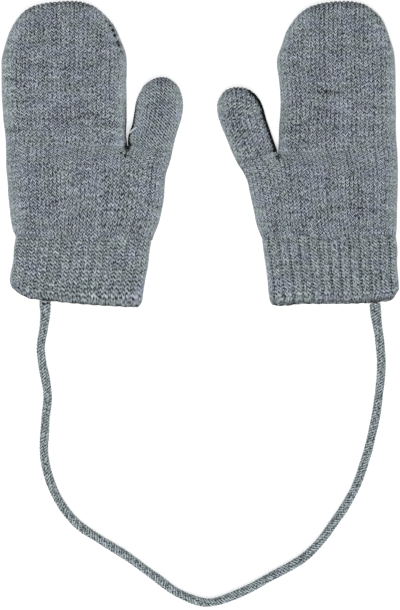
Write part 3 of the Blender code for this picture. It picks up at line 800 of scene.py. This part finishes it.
    def crease_shade(self, cloth):
        """How much painted shade the creases have at each place, which also sets how deep they sink."""
        total = np.zeros(len(cloth.points))
        for x, y, end_x, end_y, width, dark in self.mitten.creases:
            start = np.array((x, y)) * MM
            run = np.array((end_x, end_y)) * MM - start
            gap = cloth.points[:, :2] - start
            part = np.clip(gap @ run / (run @ run), 0, 1)
            away = lengths(gap - part[:, None] * run) / (width * MM)
            total += dark * np.exp(-(away**2)) * np.sin(pi * np.clip(part, 0.02, 0.98)) ** 0.5
        return total

    def dimple_shade(self, cloth):
        """How much painted shade the dimples have at each place, which also sets how deep they sink."""
        total = np.zeros(len(cloth.points))
        for x, y, radius, dark in self.mitten.dimples:
            away = lengths(cloth.points[:, :2] - np.array((x, y)) * MM)
            total += dark * np.exp(-((away / (radius * MM)) ** 2))
        return total

    def crotch_line(self, section, at, cloth):
        """How deep the painted shadow lies that runs as a dark line up the two edges of the cloth between thumb and
        fingers.
        """
        half = section.wales / 2
        at_crotch = at.wale < half if section.own else at.wale > half
        full, reach, width, fingers = self.mitten.crotch_line
        away = lengths(cloth.points[:, :2] - self.form.crotch) / MM
        strength = self.knit.crotch_shadow_strength * (1 if section.own else fingers) * fade((away - full) / (reach - full))
        return strength * np.exp(-((cloth.depth / (width * MM)) ** 2)) * at_crotch * (at.side > 0)

    def rib_shade_in_hand(self, at):
        """How much painted shade the valleys of the cuff's ribs still add in the first courses of the hand."""
        rib = at.across / self.mitten.wales * self.mitten.ribs - self.mitten.first_valley
        valley = (0.5 + 0.5 * np.cos(tau * rib)) ** 2
        return 0.2 * np.mean(self.mitten.rib_shares) * valley * fade(at.course / 6)


class Rib:
    """The ribbed cloth of one mitten's cuff: down the outside from the hand, round the hem and up the inside."""

    def __init__(self, mitten, knit, sizes, seed):
        self.mitten = mitten
        self.knit = knit
        self.sizes = sizes
        self.seed = seed
        self.wales = mitten.ribs * sizes.wales_per_rib
        self.first = mitten.first_valley * sizes.wales_per_rib
        top = np.array(mitten.palm[0], float)
        top[[1, 3]] += sizes.tuck / MM  # beneath the hand's first course
        self.rings = np.array([top, *mitten.cuff]) * MM
        keys = along((self.rings[:, :2] + self.rings[:, 2:]) / 2)
        self.keys = keys / keys[-1]

    def cloth(self):
        """The whole cloth as one grid, whose last row closes up with its first one."""
        outer_rows = self.mitten.cuff_courses * ROWS_PER_COURSE
        total = outer_rows + LIP_ROWS + INSIDE_ROWS + 1
        data, column, row = grid(2 * self.wales * COLUMNS_PER_WALE, total)
        row = np.where(row == total, 0, row)
        outer = row <= outer_rows
        lip = np.clip((row - outer_rows) / LIP_ROWS, 0, 1)
        up_again = np.clip((row - outer_rows - LIP_ROWS) / INSIDE_ROWS, 0, 1)
        down = np.where(outer, row / outer_rows, 1 - up_again)
        wale, side = round_tube(column, self.wales)
        soft = smooth(np.minimum(wale, self.wales - wale) / SOFT_WALES)
        around = column / COLUMNS_PER_WALE
        rise = self.rise(wale, down) * soft * outer / self.mitten.cuff_courses
        cloth = self.lay(wale, np.clip(down - rise, 0, 1), side, soft)
        sink, shade, plain = self.relief(wale, down, side, around, soft, cloth)
        outside = cloth.points + cloth.normals * sink[:, None]
        inside = cloth.points - cloth.normals * self.knit.wall
        turned = (outside + inside) / 2 + (outside - inside) / 2 * np.cos(pi * lip)[:, None]
        turned[:, 1] -= self.sizes.lip * np.sin(pi * lip)
        points = np.where((lip > 0)[:, None], turned, outside)
        # The lip and the inside get painted shade: a painted shadow under the rounded hem, and dark ticks in the rib
        # valleys.
        inside_shade = INSIDE_SHADE - 0.35 * np.sin(pi * lip) - 0.25 * self.valley(wale) ** 4
        shade = np.where(outer, shade, inside_shade)
        return shape_grid(data, points, around, -down * self.mitten.cuff_courses, shade, plain, 0)

    def valley(self, wale):
        """How deep in the valley between two ribs a place lies."""
        rib = (wale - self.first - 0.5) / self.sizes.wales_per_rib
        return 0.5 + 0.5 * np.cos(tau * rib)

    def purled(self, wale):
        """Whether a place lies on the purled wale of its rib."""
        return np.floor(wale - self.first) % self.sizes.wales_per_rib == 0

    def rise(self, wale, down):
        """How far the legs of the stitches rise, in courses, which ends at the hem."""
        legs = self.knit.slant * leg_share(wale - self.first, self.mitten.cuff_stitch.foot)
        above_hem = smooth((1 - down) * self.mitten.cuff_courses / 2)
        return legs * above_hem * ~self.purled(wale)

    def drawn_in(self, wale):
        """How far the wale moves when the purled wale of each rib is drawn in, in wales."""
        rib = (wale - self.first) / self.sizes.wales_per_rib
        part = rib - np.floor(rib)
        whole = 1 / self.sizes.wales_per_rib
        drawn = self.sizes.purl_share
        knitted = drawn + (part - whole) / (1 - whole) * (1 - drawn)
        narrow = np.where(part < whole, part / whole * drawn, knitted)
        return (narrow - part + (whole - drawn) / 2) * self.sizes.wales_per_rib

    def lay(self, wale, down, side, soft):
        """The cuff's places without their stitches; depth is how far each is from a fold, along the cloth."""
        radius = self.knit.fold_radius
        slack = fold_slack(self.knit)
        ring = curve_through(self.keys, self.rings, down)
        pinky = ring[:, :2]
        width = lengths(ring[:, 2:] - pinky)
        way = (ring[:, 2:] - pinky) / width[:, None]
        round_width = width + 2 * slack
        place_round = round_width * (wale + self.drawn_in(wale) * soft) / self.wales
        near = np.minimum(place_round, round_width - place_round)
        turn = np.clip(near / radius, 0, pi / 2)
        depth = np.where(near < pi / 2 * radius, radius * (1 - np.cos(turn)), near - slack)
        first_half = place_round < round_width / 2
        from_pinky = np.where(first_half, depth, width - depth)
        place = pinky + way * from_pinky[:, None]
        place[:, 1] += self.to_hem(from_pinky / width, wale, side) * down**2
        inward = np.where(first_half[:, None], way, -way)
        return raised(self.knit, place, inward, depth, near, turn, side)

    def to_hem(self, part, wale, side):
        """How far the hem lies from the straight line across its sides: the back one shows below the front one."""
        ends = smooth(part / 0.1) * smooth((1 - part) / 0.1)
        across, y = np.array(self.mitten.hem).T
        hem = curve_through(across, y * MM, part) + self.sizes.lip
        hem += np.where(side > 0, 1.0, -0.1) * self.mitten.peep * MM * ends
        hem += self.sizes.scallop * (2 * self.valley(wale) - 1) * ends
        last = self.rings[-1]
        return hem - last[1] - (last[3] - last[1]) * part

    def rib_share(self, wale, down):
        """How strong the ribs are, which grows down from the hand and changes from side to side."""
        first, last = self.mitten.rib_shares
        at_hand = self.sizes.rib_share_at_hand
        below_hand = smooth(down * self.mitten.cuff_courses / 10)
        return (first + (last - first) * wale / self.wales) * (at_hand + (1 - at_hand) * below_hand)

    def relief(self, wale, down, side, around, soft, cloth):
        """How far the stitches and ribs stand out, and how light and how plain the yarn looks."""
        mitten, sizes, knit = self.mitten, self.sizes, self.knit
        course = -down * mitten.cuff_courses
        vary = speckle(2 * around, course, self.seed) * soft
        knitted = stitch_height(wale - self.first, course, mitten.cuff_stitch, soft)
        stitch = np.where(self.purled(wale), purl_height(wale - self.first, course), knitted)
        stitch *= 1 + UNEVEN_HEIGHT * vary
        flat = smooth(cloth.depth / sizes.side_band)
        rib = (wale - self.first) / sizes.wales_per_rib
        valley = self.valley(wale)
        rib_share = self.rib_share(wale, down)
        join = self.join(cloth) * (side > 0)
        at_hem = 0.6 * smooth(1.3 - (1 - down) * mitten.cuff_courses) * (1 - join)
        stitch += (0.5 - stitch) * at_hem
        stitch += (0.6 + 0.45 * np.sin(tau * (rib * 3 + course * 0.6)) - stitch) * join
        sink = knit.relief * (0.3 + 0.7 * flat) * (stitch - 1) - sizes.rib_height * rib_share * valley**2 * flat
        sink += sizes.join_rise * join - knit.tuck * smooth((1.5 + course) / 1.5)
        broken = np.clip(0.55 + 1.5 * soft_noise(0.7 * rib + 7 * side, 4 * down, self.seed + 1), 0, None)
        trough = (valley + valley**2) / 2 - 7 / 16  # 0 on the whole
        mean = mean_gap(mitten.cuff_stitch)
        plain = SIDE_PLAIN * (1 - flat)
        gap = mean + sizes.stitch_share * (1 - stitch - mean)
        gap += (mean - PLAIN_LIGHTER - gap) * plain
        gap += (mean - gap) * at_hem
        # Painted shade in the valleys between the ribs, broken into dashes.
        gap += sizes.valley_shade * rib_share * trough * broken * flat * (1 - join)
        plain = np.maximum.reduce([plain, at_hem, 0.7 * join]).clip(sizes.plain)
        return sink, yarn_shade(gap, mean, vary, knit), plain

    def join(self, cloth):
        """How much a place belongs to the stitches that join the cord to the hem."""
        x, y = self.mitten.join
        across = (cloth.points[:, 0] - x * MM) / (self.sizes.join_width / 2)
        up = (cloth.points[:, 1] - y * MM) / self.sizes.join_reach
        return smooth(3 * (1 - np.abs(across))) * fade(up)


# ------------------------------------------------------------ materials


def feed(tree, fed, sources):
    """Gives the inputs of a node their sources, each of which is a socket or a value."""
    for name, source in sources.items():
        if isinstance(source, bpy.types.NodeSocket):
            tree.links.new(source, fed.inputs[name])
        else:
            fed.inputs[name].default_value = source


def node(tree, kind, sources=None, **settings):
    """Adds a node with its settings and the sources of its inputs."""
    made = tree.nodes.new(kind)
    for name, value in settings.items():
        setattr(made, name, value)
    feed(tree, made, sources or {})
    return made


def shaded_by(name):
    """A new material, its tree of nodes and its shader."""
    material = bpy.data.materials.new(name)
    material.use_nodes = True
    return material, material.node_tree, material.node_tree.nodes["Principled BSDF"]


def wool(name, yarn, streak_wales=9.0, green=0.0):
    """Heather acrylic and wool yarn: matt, with soft streaks of blue, green, pale and dark grey along the courses."""
    material, tree, shader = shaded_by(name)
    stitches = node(tree, "ShaderNodeUVMap", uv_map="stitches").outputs[0]

    def noise(wales, courses, shift, detail):
        place = node(tree, "ShaderNodeMapping", {"Vector": stitches, "Location": (0, 0, shift)})
        place.inputs["Scale"].default_value = (1 / wales, 1 / courses, 1)
        return node(tree, "ShaderNodeTexNoise", {"Vector": place.outputs[0], "Scale": 1.0, "Detail": detail}).outputs[0]

    def ranged(value, low, high, least, most):
        return node(tree, "ShaderNodeMapRange", {0: value, 1: low, 2: high, 3: least, 4: most}).outputs[0]

    def mix(factor, first, second):
        return node(tree, "ShaderNodeMix", {0: factor, 6: first, 7: (*second, 1)}, data_type="RGBA").outputs[2]

    def maths(operation, first, second=0.0):
        return node(tree, "ShaderNodeMath", {0: first, 1: second}, operation=operation).outputs[0]

    def stored(attribute):
        return node(tree, "ShaderNodeAttribute", attribute_name=attribute).outputs["Fac"]

    # The shade attribute is the yarn's lightness, with the painted shade of gaps, tips, ribs, creases, dimples and
    # crotch in it.
    plain, depth = stored("plain"), stored("shade")
    hue = maths("ADD", noise(streak_wales, 6.0, 0.0, 2.0), ranged(plain, 0.0, 1.0, green, green + 0.12))
    greys = mix(ranged(hue, 0.4, 0.6, 0.0, 1.0), (*yarn.blue_grey, 1), yarn.green_grey)
    streak = noise(0.6 * streak_wales, 2.2, 5.0, 1.0)
    lit = mix(ranged(streak, 0.5, 0.75, 0.0, 0.4), greys, yarn.pale_grey)
    toned = mix(ranged(streak, 0.5, 0.25, 0.0, 0.4), lit, yarn.dark_grey)
    # Tufts as small as a leg of a stitch, and patches of a dozen stitches.
    tuft = ranged(noise(0.33, 0.66, 9.0, 0.0), 0.2, 0.8, -0.87, 0.87)
    tuft = maths("MULTIPLY", tuft, ranged(plain, 0.0, 1.0, 1.0, 0.45))
    patch = ranged(noise(7.0, 9.0, 13.0, 1.0), 0.3, 0.7, -0.06, 0.06)
    look = maths("MAXIMUM", maths("ADD", maths("ADD", depth, tuft), patch), 0.12)
    # The lightest fibres differ less than the darkest ones, and the result is a perceived lightness.
    look = maths("MULTIPLY", maths("TANH", maths("DIVIDE", look, 1.25)), 1.5)
    shaded = node(tree, "ShaderNodeVectorMath", {0: toned, "Scale": maths("POWER", look, 2.2)}, operation="SCALE")
    # Fibres 0.4 mm apart catch the light.
    place = node(tree, "ShaderNodeTexCoord").outputs["Object"]
    fibres = node(tree, "ShaderNodeTexNoise", {"Vector": place, "Scale": 1 / (0.4 * MM), "Detail": 3.0})
    bump = node(tree, "ShaderNodeBump", {"Height": fibres.outputs[0], "Strength": 0.35, "Distance": 0.1 * MM})
    # Sheen and specular fade out where the painted shade is darkest, so the painted shadow lines stay dark.
    gloss_out_of_shade = ranged(depth, 0.1, 0.6, 0.0, 0.25)
    feed(tree, shader, {"Base Color": shaded.outputs[0], "Normal": bump.outputs[0], "Roughness": 0.92})
    feed(tree, shader, {"Specular IOR Level": gloss_out_of_shade, "Sheen Weight": gloss_out_of_shade, "Sheen Roughness": 0.5})
    return material


# ------------------------------------------------------------ pieces


def stand_for(piece, material, solid):
    """Gives a piece its material, hides the solid it stands for, and hangs it on the body."""
    piece.data.materials.append(material)
    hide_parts(solid)
    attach(piece, BODY)


def knit_pair(scene, part, grids_of):
    """Makes one part of both mittens from its grids."""
    material = wool(f"wool_{part}", scene.mitten_yarn)
    for mitten in MITTENS:
        piece = join_grids(f"{mitten.name}_{part}_knit", grids_of(scene, mitten), mitten.mirrored)
        stand_for(piece, material, f"{mitten.name}_{part}")
        cut = getattr(mitten, f"{part}_cut")
    return {"FINISHED"}


def hand_grids(scene, mitten):
    cuts = Cuts(mitten, scene.mitten_knit, mitten.hand_seed)
    grids = [cuts.outside(cuts.palm), cuts.outside(cuts.fingers), cuts.inside(cuts.palm), cuts.inside(cuts.fingers)]
    return [*grids, cuts.rim(cuts.palm), cuts.rim(cuts.thumb_opening)]


def thumb_grids(scene, mitten):
    cuts = Cuts(mitten, scene.mitten_knit, mitten.hand_seed)
    grids = [cuts.outside(cuts.thumb), cuts.inside(cuts.thumb), cuts.rim(cuts.thumb)]
    if mitten.yarn_end:
        grids.append(strand(mitten.yarn_end, scene.mitten_knit.yarn_radius))
    return grids


def cuff_grids(scene, mitten):
    return [Rib(mitten, scene.mitten_knit, scene.mitten_cuffs, mitten.cuff_seed).cloth()]


def cord_grid(sizes, knit, line):
    """The cord as one grid, stitch by stitch along the line."""
    run = along(line)
    courses = round(run[-1] / sizes.course)
    data, column, row = grid(sizes.wales * COLUMNS_PER_WALE, courses * ROWS_PER_COURSE)
    wale = column / COLUMNS_PER_WALE
    course = row / ROWS_PER_COURSE
    to_end = np.minimum(course, courses - course)
    rise = leg_share(wale, CORD_STITCH.foot) * smooth(to_end / 2)
    at = np.clip((course + rise) / courses * run[-1], 0, run[-1])
    ahead = unit(curve_through(run, line, at + 0.5 * MM) - curve_through(run, line, at - 0.5 * MM))
    across = np.stack([-ahead[:, 1], ahead[:, 0], np.zeros(len(at))], axis=1)
    angle = tau * (wale / sizes.wales + at / sizes.turn + 0.1 * soft_noise(at / WINDING_LENGTH, 0 * at, CORD_SEED))
    vary = speckle(2 * (wale % sizes.wales), course, CORD_SEED + 1)
    height = stitch_height(wale, course, CORD_STITCH) * (1 + UNEVEN_HEIGHT * vary)
    uneven = 1 + 0.06 * soft_noise(at / UNEVEN_LENGTH, 0 * at, CORD_SEED + 2)
    cap = np.sqrt(1 - (1 - np.clip(to_end * sizes.course / sizes.end_length, 0, 1)) ** 2)
    size = (sizes.diameter / 2 * uneven + sizes.relief * (height - 0.55)) * cap
    wide = 1 + sizes.flare * np.exp(-((np.minimum(at, run[-1] - at) / sizes.flare_length) ** 2))
    points = curve_through(run, line, at) + across * (size * wide * np.cos(angle))[:, None]
    points[:, 2] += size * np.sin(angle)
    shade = yarn_shade(1 - height, mean_gap(CORD_STITCH), vary, knit) + sizes.light
    return shape_grid(data, points, wale, course, shade, 0, 0)


class MITTENS_OT_camera(bpy.types.Operator):
    """Hangs the camera straight above the mittens"""

    bl_idname = "mittens.camera"
    bl_label = "Camera"

    def execute(self, context):
        stage = context.scene.mitten_stage
        data = bpy.data.cameras.new("camera")
        data.sensor_width = stage.sensor
        distance = stage.camera_height - stage.fold_level
        data.lens = stage.sensor * distance / stage.view_height
        data.clip_end = 4 * stage.camera_height
        camera = linked("camera", data)
        camera.location = (stage.view_x, stage.view_y, stage.camera_height)
        context.scene.camera = camera
        return {"FINISHED"}


class MITTENS_OT_cord(bpy.types.Operator):
    """Knits the cord along its route"""

    bl_idname = "mittens.cord"
    bl_label = "Cord"

    def execute(self, context):
        sizes = context.scene.mitten_cord
        line = smooth_line(np.array(CORD_ROUTE) * MM, OUTLINE_STEP)
        height = sizes.diameter / 2 + 0.5 * sizes.relief
        line = np.concatenate([line, np.full((len(line), 1), height)], axis=1)
        cord = join_grids("knitted_cord", [cord_grid(sizes, context.scene.mitten_knit, line)])
        stand_for(cord, wool("wool_cord", context.scene.mitten_yarn, 3.0, 0.15), "cord")
        return {"FINISHED"}


class MITTENS_OT_hands(bpy.types.Operator):
    """Knits the two hands in stocking stitch"""

    bl_idname = "mittens.hands"
    bl_label = "Hands"

    def execute(self, context):
        return knit_pair(context.scene, "hand", hand_grids)


class MITTENS_OT_thumbs(bpy.types.Operator):
    """Knits the two thumbs in stocking stitch"""

    bl_idname = "mittens.thumbs"
    bl_label = "Thumbs"

    def execute(self, context):
        return knit_pair(context.scene, "thumb", thumb_grids)


class MITTENS_OT_cuffs(bpy.types.Operator):
    """Knits the two ribbed cuffs"""

    bl_idname = "mittens.cuffs"
    bl_label = "Cuffs"

    def execute(self, context):
        return knit_pair(context.scene, "cuff", cuff_grids)


class MITTENS_OT_stage(bpy.types.Operator):
    """Lays the pale surface and sets up the soft studio light"""

    bl_idname = "mittens.stage"
    bl_label = "Stage"

    def execute(self, context):
        stage = context.scene.mitten_stage
        context.scene.view_settings.view_transform = "Standard"
        context.scene.cycles.use_denoising = False  # which would wipe out stitches this small
        shape = bmesh.new()
        bmesh.ops.create_grid(shape, x_segments=1, y_segments=1, size=stage.floor_size / 2)
        surface = linked("surface", mesh_of("surface", shape))
        material, tree, shader = shaded_by("white_card")
        feed(tree, shader, {"Base Color": (*stage.floor, 1), "Roughness": 0.9})
        feed(tree, shader, {"Emission Color": WHITE, "Emission Strength": 0.35})
        surface.data.materials.append(material)
        world = context.scene.world = bpy.data.worlds.new("studio")
        world.use_nodes = True
        feed(world.node_tree, world.node_tree.nodes["Background"], {"Color": WHITE, "Strength": 0.55})
        self.lamp("key", (0.1, -0.9, 1.1), 12.0)
        self.lamp("fill", (-0.7, 0.5, 1.2), 5.0)
        return {"FINISHED"}

    def lamp(self, name, place, power):
        """A round lamp, turned towards the middle of the pair."""
        data = bpy.data.lights.new(name, "AREA")
        data.shape = "DISK"
        data.size = 0.9
        data.energy = power
        light = linked(name, data)
        light.location = place
        light.rotation_euler = (LIT_PLACE - light.location).to_track_quat("-Z", "Y").to_euler()


OPERATORS = (
    MITTENS_OT_camera,
    MITTENS_OT_cord,
    MITTENS_OT_hands,
    MITTENS_OT_thumbs,
    MITTENS_OT_cuffs,
    MITTENS_OT_stage,
)


class MITTENS_PT_panel(bpy.types.Panel):
    """Lists the pieces of the mittens"""

    bl_label = "Baby Mittens"
    bl_idname = "MITTENS_PT_panel"
    bl_space_type = "VIEW_3D"
    bl_region_type = "UI"
    bl_category = "Mittens"

    def draw(self, context):
        for operator in OPERATORS:
            self.layout.operator(operator.bl_idname)
        for name in SETTINGS:
            box = self.layout.box()
            group = getattr(context.scene, name)
            for key in group.__annotations__:
                box.prop(group, key)


def register():
    for cls in (*SETTINGS.values(), *OPERATORS, MITTENS_PT_panel):
        bpy.utils.register_class(cls)
    for name, cls in SETTINGS.items():
        setattr(bpy.types.Scene, name, PointerProperty(type=cls))


def unregister():
    for name in SETTINGS:
        delattr(bpy.types.Scene, name)
    for cls in reversed((*SETTINGS.values(), *OPERATORS, MITTENS_PT_panel)):
        bpy.utils.unregister_class(cls)


def main():
    register()
    bpy.ops.mittens.camera()
    bpy.ops.mittens.cord()
    bpy.ops.mittens.hands()
    bpy.ops.mittens.thumbs()
    bpy.ops.mittens.cuffs()
    bpy.ops.mittens.stage()


if __name__ == "__main__":
    main()
